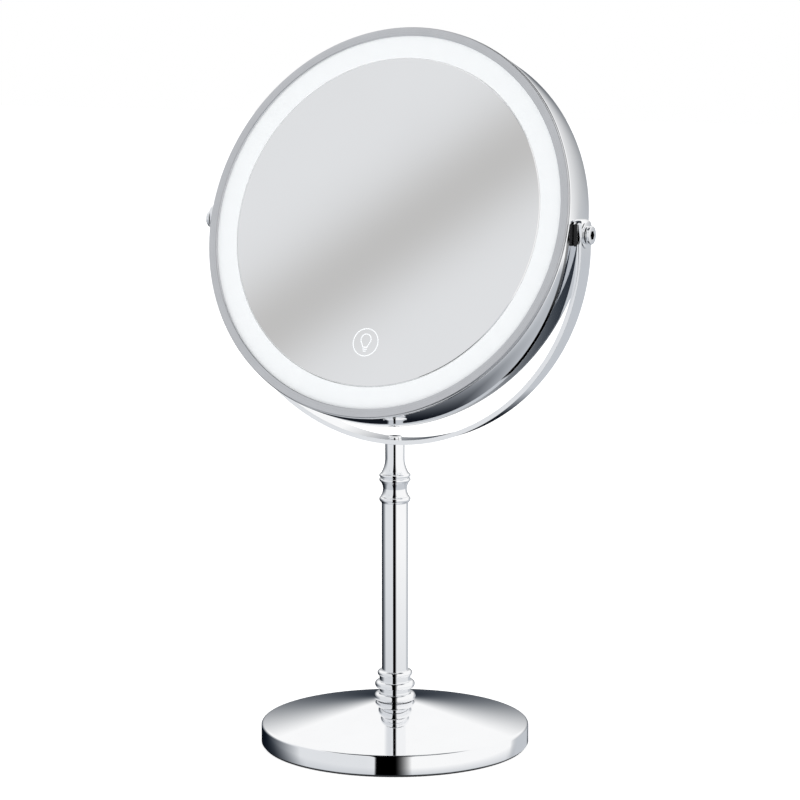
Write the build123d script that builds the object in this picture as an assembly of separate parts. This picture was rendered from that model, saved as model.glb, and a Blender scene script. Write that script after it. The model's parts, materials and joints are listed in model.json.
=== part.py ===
import os
from math import sqrt

from build123d import *

# Lighted two-sided vanity mirror on a turned stem, in millimetres.
# Origin: centre of the base's underside.  +Z up, the lit mirror faces -Y.
# The mirror head is drawn upright round its own axis (local Y, front at -Y)
# and is then leaned back about the pivot axis.

# ---- driving dimensions -------------------------------------------------
BASE_R = 68.5  # rim of the round foot
PAD_H = 1.0  # rubber sheet under the foot
RIM_TOP = 10.9  # top of the foot's upright rim
DOME_TOP = 22.0  # flat seat for the stem at the middle of the foot
SHELL_T = 1.2  # sheet thickness of the foot's cover
HUB_TOP = DOME_TOP - 3.8  # top of the weight inside the foot
STEM_R = 6.7
STEM_WALL = 1.0
STEM_FOOT = 38.4  # lower end of the plain tube
STEM_HEAD = 124.9  # upper end of the plain tube
SOCKET_DEPTH = 3.0  # how far the tube enters each collar
NECK_R = 4.9
ROD_R = 3.0  # M6 tie rod down the middle of the stem
ROD_TOP = 140.0
ROD_PLAY = 0.3
SCREW_R = 2.0  # M4 screws
RUN_GAP = 0.06  # radial clearance where the pivot screw turns in the yoke

PIVOT_H = 265.4  # height of the tilt axis
TILT = 18.7  # backward lean of the head at rest, degrees
HEAD_R = 100.5  # drum-shaped casing, about 8 inches across
HEAD_HALF = 12.8  # half the head's depth
CASING_T = 1.6
BEZEL_R = 100.1  # front and rear trim rings
BEZEL_IN = 95.7
BEZEL_T = 1.4
MIRROR_R = 84.3  # mirror inside the lit ring
GLASS_T = 3.0
REAR_GLASS_T = 2.0
REAR_CURVE = 1000.0  # radius of the magnifying mirror's hollow face

YOKE_R = 105.2  # outer face of the yoke strip
YOKE_T = 2.3
YOKE_HALF_W = 5.7
YOKE_DROP = 4.6  # arc centre below the tilt axis
EAR_TOP = 7.7  # top of the ear above the tilt axis
LIP_IN = 100.9  # how far in the ear's bent lip reaches

SEAT_RING_R = 96.8  # outer edge of the light ring, its tray and the rear glass
LED_COUNT = 48
LED_RING_R = 90.75
CELL_R = 5.2  # AAA cells
CELL_LENGTH = 43.5
CELL_RING_R = 68.0  # the cells lie on this circle
CELL_ANGLES = (45, 135, 225, 315)
ICON_DROP = 62.0  # touch mark below the middle of the mirror

# ---- levels inside the head, along its own axis ------------------------
GLASS_FRONT = BEZEL_T - HEAD_HALF
GLASS_BACK = GLASS_FRONT + GLASS_T
TAPE_T = 0.4
FLOOR_FRONT = GLASS_BACK + TAPE_T
FLOOR_BACK = FLOOR_FRONT + 1.2
CHANNEL_FRONT = -4.6  # floor of the light channel
CHANNEL_BACK = -3.4
DIFFUSER_BACK = -8.8
LED_BOARD_T = 1.0
BAY_FLOOR = FLOOR_BACK + 1.0
CELL_LEVEL = BAY_FLOOR + CELL_R + 0.1
REAR_EDGE = HEAD_HALF - BEZEL_T  # outer face of the rear glass at its rim
GAP = 0.15  # assembly clearance inside the head


# ---- small tools ---------------------------------------------------------
def lathe_z(profile):
    """Turn a profile drawn as (radius, height) round the stem's axis."""
    return revolve(Plane.XZ * profile, Axis.Z)


def lathe_y(profile):
    """Turn a profile drawn as (radius, depth) round the head's own axis."""
    return revolve(profile, Axis.Y)


def outline(*points):
    return make_face(Polyline(*points, close=True))


def band(r_in, r_out, low, high):
    """A rectangle between two radii and two levels."""
    return outline((r_in, low), (r_out, low), (r_out, high), (r_in, high))


def disc_y(radius, low, high, x=0.0, z=0.0):
    """A disc whose axis runs front to back."""
    middle = Pos(x, (low + high) / 2, z)
    return middle * Rot(90, 0, 0) * Cylinder(radius, high - low)


def rod_x(radius, low, high):
    """A round bar along X on the tilt axis."""
    return Pos((low + high) / 2, 0, 0) * Rot(0, 90, 0) * Cylinder(radius, high - low)


def block(low, high):
    """A box between two corners."""
    size = [b - a for a, b in zip(low, high)]
    middle = [(a + b) / 2 for a, b in zip(low, high)]
    return Pos(*middle) * Box(*size)


def round_about(shape, angles):
    """Copies of a shape turned round the head's own axis."""
    return [Rot(0, angle, 0) * shape for angle in angles]


def both_sides(shape):
    return [shape, mirror(shape, Plane.YZ)]


def group(shapes):
    return Compound(children=list(shapes))


def lean(shape):
    """Lean a head piece back and lift it to the tilt axis."""
    return Pos(0, 0, PIVOT_H) * Rot(-TILT, 0, 0) * shape


def lift(shape):
    """Lift a piece drawn round the tilt axis, without leaning it."""
    return Pos(0, 0, PIVOT_H) * shape


def save(name, shape):
    shape.label = name
    export_step(shape, f"parts/{name}.step")


# ---- foot ----------------------------------------------------------------
SEAT_R = 10.2  # flat at the top of the dome
RIM_EDGE = 1.3  # rounded edge of the foot's rim
DOME_FOOT = RIM_TOP + 0.2
DOME_MID_R = 38.36  # a point half way up the dome's curve
DOME_MID = 16.3


def dome_line(drop):
    """The dome's slope from the rim to the seat, lowered by drop."""
    start = (BASE_R - RIM_EDGE - drop, DOME_FOOT - drop)
    middle = (DOME_MID_R, DOME_MID - drop)
    end = (SEAT_R, DOME_TOP - drop)
    return ThreePointArc(start, middle, end)


def foot_profile(inset):
    """Section of the closed dome; inset shrinks it by the sheet's thickness."""
    slope = dome_line(inset)
    rim_r = BASE_R - inset
    edge = ThreePointArc(
        (rim_r, RIM_TOP - 1.1 - inset),
        (rim_r - 0.35, RIM_TOP - 0.25 - inset),
        slope @ 0,
    )
    base = PAD_H if inset == 0 else 0
    rest = Polyline(
        slope @ 1, (0, DOME_TOP - inset), (0, base), (rim_r, base), edge @ 0
    )
    return make_face(Curve() + [edge, slope, rest])


def base_shell():
    bore = Pos(0, 0, DOME_TOP) * Cylinder(ROD_R + ROD_PLAY, 10)
    return lathe_z(foot_profile(0)) - lathe_z(foot_profile(SHELL_T)) - bore


BALLAST_R = BASE_R - SHELL_T - GAP
BALLAST_EDGE = RIM_TOP - 2.6
HUB_R = 14.5
NUT_WELL_R = 16.0
NUT_ROOF = 13.6  # underside of the ballast's hub


def base_ballast():
    """Cast weight that fills the foot, hollowed under its hub for the nut."""
    body = lathe_z(
        outline(
            (0, PAD_H),
            (BALLAST_R, PAD_H),
            (BALLAST_R, BALLAST_EDGE),
            (HUB_R, HUB_TOP),
            (0, HUB_TOP),
        )
    )
    well = Pos(0, 0, NUT_ROOF / 2) * Cylinder(NUT_WELL_R, NUT_ROOF)
    bore = Pos(0, 0, NUT_ROOF) * Cylinder(ROD_R + ROD_PLAY, 20)
    return body - well - bore


PAD_R = BASE_R - 0.9


def base_pad():
    sheet = Pos(0, 0, PAD_H / 2) * Cylinder(PAD_R, PAD_H)
    edges = sheet.edges().filter_by(GeomType.CIRCLE).group_by(Axis.Z)[0]
    return fillet(edges, 0.3)


WASHER_T = 1.6
WASHER_R = 12.0
NUT_T = 5.0
NUT_R = 5.0  # across flats, halved
NUT_TOP = NUT_ROOF - WASHER_T


def base_washer():
    ring = Pos(0, 0, NUT_ROOF - WASHER_T / 2) * Cylinder(WASHER_R, WASHER_T)
    return ring - Pos(0, 0, NUT_ROOF) * Cylinder(ROD_R + 0.2, 10)


def base_nut():
    hexagon = extrude(RegularPolygon(NUT_R, 6, major_radius=False), NUT_T)
    nut = Pos(0, 0, NUT_TOP - NUT_T) * hexagon
    return nut - Pos(0, 0, NUT_TOP) * Cylinder(ROD_R, 20)


SPACER_R = 9.0


def hub_spacer():
    """Sleeve between the ballast's hub and the dome, round the tie rod."""
    return lathe_z(band(ROD_R + ROD_PLAY, SPACER_R, HUB_TOP, DOME_TOP - SHELL_T))


# ---- stem ----------------------------------------------------------------
def beaded(core, beads):
    """A core section with round beads, given as (outer radius, half height, level)."""
    section = core
    for radius, bead, level in beads:
        section = section + Pos(radius - bead, level) * Circle(bead)
    return section


def bored(solid, radius, low, high):
    hole = Pos(0, 0, (low + high) / 2) * Cylinder(radius, high - low)
    return solid - hole


LOWER_CORE_R = 7.9
LOWER_BEADS = [(8.9, 1.5, 36.5), (10.2, 2.0, 30.7), (10.7, 2.2, 24.4)]


def lower_collar():
    core = band(0, LOWER_CORE_R, DOME_TOP, STEM_FOOT - 0.4)
    turned = lathe_z(beaded(core, LOWER_BEADS))
    turned = bored(turned, ROD_R + ROD_PLAY, DOME_TOP - 1, STEM_FOOT + 1)
    return bored(turned, STEM_R, STEM_FOOT - SOCKET_DEPTH, STEM_FOOT + 1)


def stem_tube():
    low = STEM_FOOT - SOCKET_DEPTH
    high = STEM_HEAD + SOCKET_DEPTH
    return lathe_z(band(STEM_R - STEM_WALL, STEM_R, low, high))


NECK_TOP = PIVOT_H - YOKE_DROP - YOKE_R
YOKE_SCREW_DEPTH = 11.0
UPPER_BEADS = [(7.9, 1.0, 139.1), (7.9, 1.1, 136.8), (7.9, 1.6, 126.8)]
# Lines of the collar's outside, as (radius, height), from the neck down.
FLARE_LINE = [(NECK_R, 148.6), (5.35, 144.2), (7.35, 139.5)]
LINK_POINT = (7.1, 138.0)
WAIST_LINE = [(7.2, 136.0), (6.05, 132.0), (7.2, 128.2)]
FOOT_POINT = (6.9, STEM_HEAD)


def upper_collar():
    flare = ThreePointArc(*FLARE_LINE)
    waist = ThreePointArc(*WAIST_LINE)
    sides = Polyline(waist @ 1, FOOT_POINT, (0, STEM_HEAD))
    top = Polyline((0, STEM_HEAD), (0, NECK_TOP), (NECK_R, NECK_TOP), flare @ 0)
    link = Polyline(flare @ 1, LINK_POINT, waist @ 0)
    section = make_face(Curve() + [flare, link, waist, sides, top])
    turned = lathe_z(beaded(section, UPPER_BEADS))
    turned = bored(turned, ROD_R, STEM_HEAD - 1, ROD_TOP + 2)
    turned = bored(turned, SCREW_R, NECK_TOP - YOKE_SCREW_DEPTH - 0.5, NECK_TOP + 1)
    return bored(turned, STEM_R, STEM_HEAD - 1, STEM_HEAD + SOCKET_DEPTH)


def tie_rod():
    low = NUT_TOP - NUT_T - 2
    return Pos(0, 0, (low + ROD_TOP) / 2) * Cylinder(ROD_R, ROD_TOP - low)


# ---- yoke ----------------------------------------------------------------
def u_section(radius, top):
    """Half round below the arc centre, straight sides up to top."""
    height = top + YOKE_DROP
    sides = Pos(0, height / 2) * Rectangle(2 * radius, height)
    lower_half = Pos(0, -radius / 2) * Rectangle(2 * radius, radius)
    return Pos(0, -YOKE_DROP) * (sides + (Circle(radius) & lower_half))


def ear_outline():
    """The strip seen from the side: its ears have rounded shoulders."""
    low = -YOKE_DROP - YOKE_R - 1
    side = block(
        (-YOKE_R - 1, -YOKE_HALF_W, low), (YOKE_R + 1, YOKE_HALF_W, EAR_TOP)
    )
    shoulders = side.edges().filter_by(Axis.X).group_by(Axis.Z)[-1]
    return fillet(shoulders, 3.5)


def yoke_bracket():
    inner_r = YOKE_R - YOKE_T
    strip = u_section(YOKE_R, EAR_TOP) - u_section(inner_r, EAR_TOP - YOKE_T)
    strip -= Pos(0, EAR_TOP) * Rectangle(2 * LIP_IN, 4 * YOKE_T)
    bar = extrude(Plane.XZ * strip, YOKE_HALF_W, both=True)
    corners = bar.edges().filter_by(Axis.Y).group_by(Axis.Z)[-1].sort_by(Axis.X)
    bar = fillet([corners[0], corners[-1]], YOKE_T + 0.4)
    bar &= ear_outline()
    bar -= rod_x(SCREW_R + RUN_GAP, -YOKE_R - 1, YOKE_R + 1)
    stem_hole = Pos(0, 0, -YOKE_DROP - YOKE_R) * Cylinder(SCREW_R + 0.2, 10)
    return lift(bar - stem_hole)


def pan_screw(head_r, head_h, shank_r, shank_len, socket_r):
    """Screw along +Z: head above the origin, shank below it."""
    head = Pos(0, 0, head_h / 2) * Cylinder(head_r, head_h)
    head = fillet(head.edges().group_by(Axis.Z)[-1], head_h * 0.45)
    shank = Pos(0, 0, -shank_len / 2) * Cylinder(shank_r, shank_len)
    socket = Pos(0, 0, head_h) * extrude(RegularPolygon(socket_r, 6), -head_h * 0.6)
    return head + shank - socket


def yoke_screw():
    seat = PIVOT_H - YOKE_DROP - YOKE_R + YOKE_T + 0.1
    screw = pan_screw(3.5, 1.2, SCREW_R, YOKE_T + YOKE_SCREW_DEPTH, 1.5)
    return Pos(0, 0, seat) * screw


PAD_IN = HEAD_R + 0.3  # inner face of the friction pad


def pivot_pads():
    inner_r = YOKE_R - YOKE_T
    pad = block((PAD_IN, -5.5, -5.3), (inner_r, 5.5, EAR_TOP - YOKE_T))
    pad = fillet(pad.edges().filter_by(Axis.X), 0.8)
    pad -= rod_x(SCREW_R + RUN_GAP, HEAD_R - 5, YOKE_R)
    return lift(group(both_sides(pad)))


# ---- head: trim, casing and glass ---------------------------------------
SKIRT_IN = 97.1
SKIRT_END = -6.2


def bezel_section(play):
    """Flat trim ring with a skirt that fits the casing with some play."""
    face = band(BEZEL_IN, BEZEL_R, -HEAD_HALF, GLASS_FRONT)
    rim = face.vertices().group_by(Axis.Y)[0]
    face = fillet(rim, 0.45)
    skirt = band(SKIRT_IN, HEAD_R - CASING_T - play, GLASS_FRONT, SKIRT_END)
    return face + skirt


def front_bezel():
    return lean(lathe_y(bezel_section(0.1)))


CASING_HALF = HEAD_HALF - BEZEL_T - 0.2  # half the drum's length


def head_casing():
    wall = band(HEAD_R - CASING_T, HEAD_R, -CASING_HALF, CASING_HALF)
    outer = wall.vertices().group_by(Axis.X)[-1]
    drum = lathe_y(fillet(outer, 0.6))
    drum -= rod_x(SCREW_R + 0.1, -HEAD_R - 1, HEAD_R + 1)
    return lean(drum)


def front_mirror():
    glass = disc_y(MIRROR_R, GLASS_FRONT, GLASS_BACK)
    return lean(chamfer(glass.edges().group_by(Axis.Y)[0], 0.4))


def light_diffuser():
    ring = band(MIRROR_R + GAP, SEAT_RING_R, GLASS_FRONT, DIFFUSER_BACK)
    return lean(lathe_y(ring))


BOSS_ANGLES = (0, 90, 180, 270)
BOSS_RING_R = 46.0
BOSS_TOP = -2.8
BOARD_POSTS = [(x, z) for x in (-14, 14) for z in (-8, 8)]
POST_TOP = FLOOR_BACK + 1.2
POST_R = 1.8
BOARD_SCREW_R = 0.8
TRAY_SCREW_R = 1.3
CHANNEL_IN = 86.0
CHANNEL_OUT = 95.2
CHANNEL_WALL_IN = 83.0
BOSS_R = 2.8
WIRE_HOLE_R = 1.6
TOUCH_HOLE_R = 0.9


def light_tray():
    """White moulding: mirror seat, light channel and screw bosses."""
    section = outline(
        (0, FLOOR_FRONT),
        (MIRROR_R + GAP, FLOOR_FRONT),
        (MIRROR_R + GAP, DIFFUSER_BACK),
        (CHANNEL_IN, DIFFUSER_BACK),
        (CHANNEL_IN, CHANNEL_FRONT),
        (CHANNEL_OUT, CHANNEL_FRONT),
        (CHANNEL_OUT, DIFFUSER_BACK),
        (SEAT_RING_R, DIFFUSER_BACK),
        (SEAT_RING_R, CHANNEL_BACK),
        (CHANNEL_WALL_IN, CHANNEL_BACK),
        (CHANNEL_WALL_IN, FLOOR_BACK),
        (0, FLOOR_BACK),
    )
    tray = lathe_y(section)
    boss = disc_y(BOSS_R, FLOOR_BACK - 0.1, BOSS_TOP, x=BOSS_RING_R)
    tray += round_about(boss, BOSS_ANGLES)
    for x, z in BOARD_POSTS:
        tray += disc_y(POST_R, FLOOR_BACK - 0.1, POST_TOP, x, z)
    core = disc_y(TRAY_SCREW_R, FLOOR_FRONT + 0.6, BOSS_TOP + 1, x=BOSS_RING_R)
    tray -= round_about(core, BOSS_ANGLES)
    for x, z in BOARD_POSTS:
        tray -= disc_y(BOARD_SCREW_R, FLOOR_FRONT + 0.5, POST_TOP + 1, x, z)
    tray -= disc_y(TOUCH_HOLE_R, FLOOR_FRONT - 1, FLOOR_BACK + 1, 0, -ICON_DROP)
    tray -= disc_y(WIRE_HOLE_R, CHANNEL_FRONT - 1, CHANNEL_BACK + 1, 0, LED_RING_R)
    return lean(tray)


TAPE_RINGS = [(72, 81), (24, 40)]  # inner and outer radius of each


def mirror_tape():
    rings = [lathe_y(band(a, b, GLASS_BACK, FLOOR_FRONT)) for a, b in TAPE_RINGS]
    return lean(group(rings))


# ---- head: lights and electronics ---------------------------------------
LED_FRONT = CHANNEL_FRONT - LED_BOARD_T
LED_STRIP_HALF = 3.0
LED_HALF = (1.4, 1.5)  # half the package's size across and along the ring
LED_T = 0.8


def led_strip():
    low = LED_RING_R - LED_STRIP_HALF
    high = LED_RING_R + LED_STRIP_HALF
    ring = band(low, high, LED_FRONT, CHANNEL_FRONT)
    lead_hole = disc_y(WIRE_HOLE_R, LED_FRONT - 1, CHANNEL_FRONT + 1, 0, LED_RING_R)
    return lean(lathe_y(ring) - lead_hole)


def led_chips():
    across, along = LED_HALF
    low = (LED_RING_R - across, LED_FRONT - LED_T, -along)
    high = (LED_RING_R + across, LED_FRONT, along)
    step = 360 / LED_COUNT
    angles = [step * (i + 0.5) for i in range(LED_COUNT)]
    return lean(group(round_about(block(low, high), angles)))


ELECTRODE_R = 6.5


def touch_electrode():
    return lean(disc_y(ELECTRODE_R, GLASS_BACK, FLOOR_FRONT, 0, -ICON_DROP))


def touch_board():
    board = block((-9, FLOOR_BACK, -ICON_DROP - 7), (9, FLOOR_BACK + 1, -ICON_DROP + 7))
    hole = disc_y(TOUCH_HOLE_R, FLOOR_BACK - 1, FLOOR_BACK + 2, 0, -ICON_DROP)
    return lean(board - hole)


BOARD_BACK = POST_TOP + 1.2


def control_board():
    board = block((-17, POST_TOP, -11), (17, BOARD_BACK, 11))
    for x, z in BOARD_POSTS:
        board -= disc_y(1.0, POST_TOP - 1, BOARD_BACK + 1, x, z)
    return lean(board)


def board_components():
    """Driver chip, coil, capacitor, resistors and the lead connector."""
    chip = block((-3, BOARD_BACK, -2.5), (3, BOARD_BACK + 1.4, 2.5))
    coil = disc_y(3, BOARD_BACK, BOARD_BACK + 3, -10, 0)
    can = disc_y(2.5, BOARD_BACK, BOARD_BACK + 4.2, 10, 1)
    plug = block((-5, BOARD_BACK, 6), (5, BOARD_BACK + 3.4, 10.5))
    small = [
        block((x, BOARD_BACK, -7.5), (x + 1.6, BOARD_BACK + 0.6, -6.5))
        for x in (-8, -5, -2, 1, 4, 7)
    ]
    return lean(group([chip, coil, can, plug] + small))


def small_screw(head_r, head_h, shank_r, shank_len, seat, x, z):
    """Screw with its head towards the back of the head."""
    screw = Rot(-90, 0, 0) * pan_screw(head_r, head_h, shank_r, shank_len, head_r * 0.5)
    return Pos(x, seat, z) * screw


def board_screws():
    screws = [
        small_screw(1.7, 1.1, BOARD_SCREW_R, POST_TOP - FLOOR_BACK + 1.2, BOARD_BACK, x, z)
        for x, z in BOARD_POSTS
    ]
    return lean(group(screws))


# ---- head: battery tray ---------------------------------------------------
BAY_HALF_LENGTH = 24.6
BAY_HALF_WIDTH = 5.7
BAY_WALL = 1.0
BAY_TOP = 1.6
TRAY_IN_R = 38.0
TRAY_OUT_R = 80.0
SLEEVE_R = 4.4


def battery_bay(grow, low, high):
    """A box round one cell, tangent to the cell circle, on the +X side."""
    half_w = BAY_HALF_WIDTH + grow
    half_l = BAY_HALF_LENGTH + grow
    return block(
        (CELL_RING_R - half_w, low, -half_l), (CELL_RING_R + half_w, high, half_l)
    )


def battery_tray():
    tray = lathe_y(band(TRAY_IN_R, TRAY_OUT_R, FLOOR_BACK, BAY_FLOOR))
    sleeve = disc_y(SLEEVE_R, FLOOR_BACK, BOSS_TOP, x=BOSS_RING_R)
    walls = battery_bay(BAY_WALL, FLOOR_BACK, BAY_TOP)
    hollow = battery_bay(0, BAY_FLOOR, BAY_TOP + 1)
    tray += round_about(sleeve, BOSS_ANGLES)
    tray += round_about(walls, CELL_ANGLES)
    tray -= round_about(hollow, CELL_ANGLES)
    hole = disc_y(BOSS_R + 0.1, FLOOR_BACK - 1, BOSS_TOP + 1, x=BOSS_RING_R)
    tray -= round_about(hole, BOSS_ANGLES)
    window = block(
        (-11, FLOOR_BACK - 1, -ICON_DROP - 9), (11, BAY_FLOOR + 1, -ICON_DROP + 9)
    )
    return lean(tray - window)


def tray_screws():
    screw = small_screw(3.6, 1.5, TRAY_SCREW_R - 0.02, 2.6, BOSS_TOP, BOSS_RING_R, 0)
    return lean(group(round_about(screw, BOSS_ANGLES)))


CELL_FOOT = -BAY_HALF_LENGTH + 3.6  # negative end, against its coil


def battery_cells():
    can = Pos(CELL_RING_R, CELL_LEVEL, CELL_FOOT + CELL_LENGTH / 2) * Cylinder(
        CELL_R, CELL_LENGTH
    )
    can = fillet(can.edges().filter_by(GeomType.CIRCLE), 0.6)
    nub = Pos(CELL_RING_R, CELL_LEVEL, CELL_FOOT + CELL_LENGTH + 0.4)
    cell = can + nub * Cylinder(1.9, 0.8)
    return lean(group(round_about(cell, CELL_ANGLES)))


COIL_WIRE_R = 0.35
COIL_R = 3.0
COIL_TURNS = 2.5


def contact_springs():
    """One coil for each cell's flat end."""
    low = -BAY_HALF_LENGTH + COIL_WIRE_R + 0.05
    height = CELL_FOOT - COIL_WIRE_R - 0.05 - low
    path = Helix(height / COIL_TURNS, height, COIL_R)
    wire = Plane(path @ 0, z_dir=path % 0) * Circle(COIL_WIRE_R)
    coil = Pos(CELL_RING_R, CELL_LEVEL, low) * sweep(wire, path, is_frenet=True)
    return lean(group(round_about(coil, CELL_ANGLES)))


def contact_plates():
    """Flat contact for each cell's raised end."""
    inner = CELL_FOOT + CELL_LENGTH + 0.8
    plate = block(
        (CELL_RING_R - 3.5, BAY_FLOOR, inner),
        (CELL_RING_R + 3.5, BAY_TOP, BAY_HALF_LENGTH),
    )
    plate = fillet(plate.edges().filter_by(Axis.Z).group_by(Axis.Y)[-1], 1.0)
    return lean(group(round_about(plate, CELL_ANGLES)))


# ---- head: inside leads ---------------------------------------------------
LEAD_R = 0.6
CONNECTOR_TOP = 10.6  # just above the connector on the control board


def lead(bends, *points):
    """A lead through points (x, depth, z), with an arc at each corner."""
    path = FilletPolyline(*points, radius=bends)
    section = Plane(path @ 0, z_dir=path % 0) * Circle(LEAD_R)
    return sweep(section, path)


def battery_leads():
    """Positive and negative leads from the top bays to the connector."""
    level = BOARD_BACK + 1.2
    leads = []
    for side in (-1, 1):
        route = [(30.2, 56.2), (10, 34), (3.4, 18), (3.4, CONNECTOR_TOP)]
        leads.append(lead(7, *[(side * x, level, z) for x, z in route]))
    return lean(group(leads))


def led_leads():
    """Two leads from the LED ring, through the tray, to the connector."""
    level = CHANNEL_BACK + 1.2
    leads = []
    for x in (-0.7, 0.7):
        leads.append(
            lead(
                [1.6, 9, 9, 5],
                (x, CHANNEL_FRONT, LED_RING_R),
                (x, level, LED_RING_R),
                (x - 8, level, 58),
                (x - 8, level, 34),
                (x, level, 19),
                (x, level, CONNECTOR_TOP),
            )
        )
    return lean(group(leads))


def touch_lead():
    """From the touch board, round the screw boss, to the control board."""
    level = BAY_FLOOR + LEAD_R + 0.05
    route = [(5, -57), (8.5, -45), (7, -28), (3, -18), (3, -11.1)]
    return lean(lead(7, *[(x, level, z) for x, z in route]))


# ---- head: pivots -----------------------------------------------------------
NUT_IN = 88.5  # inner end of the threaded pivot block
NUT_HALF_W = 3.1
NUT_HALF_H = 5.0
CAP_SEAT = YOKE_R + 0.7  # inner face of the pivot screw's cap
CAP_R = 4.5
CAP_T = 2.5
GROOVE_AT = 0.9
GROOVE_W = 0.5
SOCKET_R = 2.3
WASHER_RING_R = 6.6


def pivot_blocks():
    outer = sqrt((HEAD_R - CASING_T - 0.05) ** 2 - NUT_HALF_H**2)
    nut = block((NUT_IN, -NUT_HALF_W, -NUT_HALF_H), (outer, NUT_HALF_W, NUT_HALF_H))
    nut -= rod_x(SCREW_R, NUT_IN - 1, HEAD_R)
    return lean(group(both_sides(nut)))


def pivot_screws():
    """Shank through ear and casing, grooved round cap with a hex socket."""
    shank = rod_x(SCREW_R, NUT_IN + 1, CAP_SEAT)
    cap = rod_x(CAP_R, CAP_SEAT, CAP_SEAT + CAP_T)
    cap = fillet(cap.edges().group_by(Axis.X)[-1], 0.8)
    groove_x = CAP_SEAT + GROOVE_AT
    groove = rod_x(CAP_R + 1, groove_x, groove_x + GROOVE_W)
    groove -= rod_x(CAP_R - 0.5, groove_x - 1, groove_x + 1)
    socket = Plane.YZ * RegularPolygon(SOCKET_R, 6)
    socket = Pos(CAP_SEAT + CAP_T, 0, 0) * extrude(socket, -1.8)
    screw = shank + cap - groove - socket
    return lean(group(both_sides(screw)))


def pivot_washers():
    ring = rod_x(WASHER_RING_R, YOKE_R + 0.05, CAP_SEAT - 0.05)
    ring = fillet(ring.edges().group_by(Axis.X)[-1], 0.35)
    ring -= rod_x(SCREW_R + RUN_GAP, YOKE_R, CAP_SEAT + 1)
    return lift(group(both_sides(ring)))


# ---- rear cover ---------------------------------------------------------------
def rear_bezel():
    front = lathe_y(bezel_section(0.3))
    return lean(mirror(front, Plane.XZ))


def hollow_face(level, radius):
    """Height of the magnifier's hollow face, level at the given rim radius."""
    return level - REAR_CURVE + sqrt(REAR_CURVE**2 - radius**2)


def rear_mirror():
    outer_mid = (0, hollow_face(REAR_EDGE, SEAT_RING_R))
    inner_mid = (0, outer_mid[1] - REAR_GLASS_T)
    rim_out = (SEAT_RING_R, REAR_EDGE)
    rim_in = (SEAT_RING_R, REAR_EDGE - REAR_GLASS_T)
    way = SEAT_RING_R / 2
    rise = REAR_CURVE - sqrt(REAR_CURVE**2 - way**2)
    outer = ThreePointArc(outer_mid, (way, outer_mid[1] + rise), rim_out)
    inner = ThreePointArc(inner_mid, (way, inner_mid[1] + rise), rim_in)
    ends = [Line(outer_mid, inner_mid), Line(rim_out, rim_in)]
    return lean(lathe_y(make_face(Curve() + [outer, inner] + ends)))


RETAINER_IN = 91.5
RETAINER_OUT = 96.9
RETAINER_T = 1.4


def rear_retainer():
    """Ring glued inside the skirt that holds the rear glass."""
    back = REAR_EDGE - REAR_GLASS_T - 0.7
    return lean(lathe_y(band(RETAINER_IN, RETAINER_OUT, back - RETAINER_T, back)))


# ---- assembly -------------------------------------------------------------------
PIECES = [
    base_shell,
    base_ballast,
    base_pad,
    base_washer,
    base_nut,
    hub_spacer,
    lower_collar,
    stem_tube,
    upper_collar,
    tie_rod,
    yoke_bracket,
    yoke_screw,
    pivot_pads,
    pivot_washers,
    front_bezel,
    head_casing,
    front_mirror,
    light_diffuser,
    light_tray,
    mirror_tape,
    led_strip,
    led_chips,
    touch_electrode,
    touch_board,
    control_board,
    board_components,
    board_screws,
    battery_tray,
    tray_screws,
    battery_cells,
    contact_springs,
    contact_plates,
    battery_leads,
    led_leads,
    touch_lead,
    pivot_blocks,
    pivot_screws,
    rear_bezel,
    rear_mirror,
    rear_retainer,
]


def main():
    os.makedirs("parts", exist_ok=True)
    for piece in PIECES:
        save(piece.__name__, piece())


main()
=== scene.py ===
import json
from math import acos, atan2, cos, degrees, hypot, pi, radians, sin, sqrt, tau

import bpy
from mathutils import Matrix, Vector


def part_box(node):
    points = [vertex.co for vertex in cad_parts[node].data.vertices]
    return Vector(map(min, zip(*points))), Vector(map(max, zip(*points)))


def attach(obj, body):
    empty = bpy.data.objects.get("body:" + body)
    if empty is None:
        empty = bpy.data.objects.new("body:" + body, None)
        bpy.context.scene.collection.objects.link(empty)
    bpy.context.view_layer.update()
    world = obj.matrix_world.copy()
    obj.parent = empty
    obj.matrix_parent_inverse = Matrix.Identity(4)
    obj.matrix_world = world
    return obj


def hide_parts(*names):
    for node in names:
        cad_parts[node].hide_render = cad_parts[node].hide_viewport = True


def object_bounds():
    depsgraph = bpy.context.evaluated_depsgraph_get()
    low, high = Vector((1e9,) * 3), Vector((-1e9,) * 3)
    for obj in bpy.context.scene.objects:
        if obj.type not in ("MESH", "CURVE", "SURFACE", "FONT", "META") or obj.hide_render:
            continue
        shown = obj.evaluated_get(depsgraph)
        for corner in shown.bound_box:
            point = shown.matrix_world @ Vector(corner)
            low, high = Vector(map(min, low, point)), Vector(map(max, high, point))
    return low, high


bl_info = {
    "name": "Lighted Vanity Mirror",
    "version": (1, 0, 0),
    "blender": (4, 5, 0),
    "location": "View3D > Sidebar > Mirror",
    "description": "Builds the pieces, finishes and studio of a lighted two-sided vanity mirror",
    "category": "Object",
}

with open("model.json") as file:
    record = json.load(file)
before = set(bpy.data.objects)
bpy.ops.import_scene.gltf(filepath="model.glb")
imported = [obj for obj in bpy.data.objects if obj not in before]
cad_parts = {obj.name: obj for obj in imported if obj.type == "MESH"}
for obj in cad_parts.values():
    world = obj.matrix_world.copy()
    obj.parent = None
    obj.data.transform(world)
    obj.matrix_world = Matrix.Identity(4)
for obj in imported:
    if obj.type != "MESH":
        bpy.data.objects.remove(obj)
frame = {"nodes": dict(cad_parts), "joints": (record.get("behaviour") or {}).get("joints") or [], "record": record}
CAD_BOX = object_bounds()

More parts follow.
